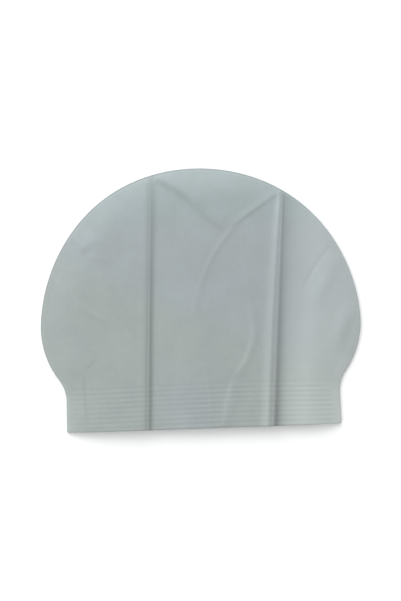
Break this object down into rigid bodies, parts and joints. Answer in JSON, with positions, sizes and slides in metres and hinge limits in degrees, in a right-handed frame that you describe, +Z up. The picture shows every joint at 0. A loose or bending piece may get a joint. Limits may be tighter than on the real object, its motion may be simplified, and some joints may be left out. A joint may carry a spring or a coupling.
{
  "type": "swim cap",
  "caption": "Moulded latex swim cap lying flat, with a round crown, drawn-in cheeks, a fine ribbed band above the open hem and two soft fold creases.",
  "frame": {"origin": "under the middle of the cap, on the surface that its back face lies on", "axes": "+X across the cap, +Y from the open hem to the crown, +Z up through the front face"},
  "size_m": [0.22, 0.1782, 0.0099],
  "materials": {
    "latex": "thin dip-moulded latex, silver grey with a cool green-blue cast, satin and slightly cloudy"
  },
  "bodies": {
    "root": {"cap_shell": "latex"}
  },
  "joints": []
}
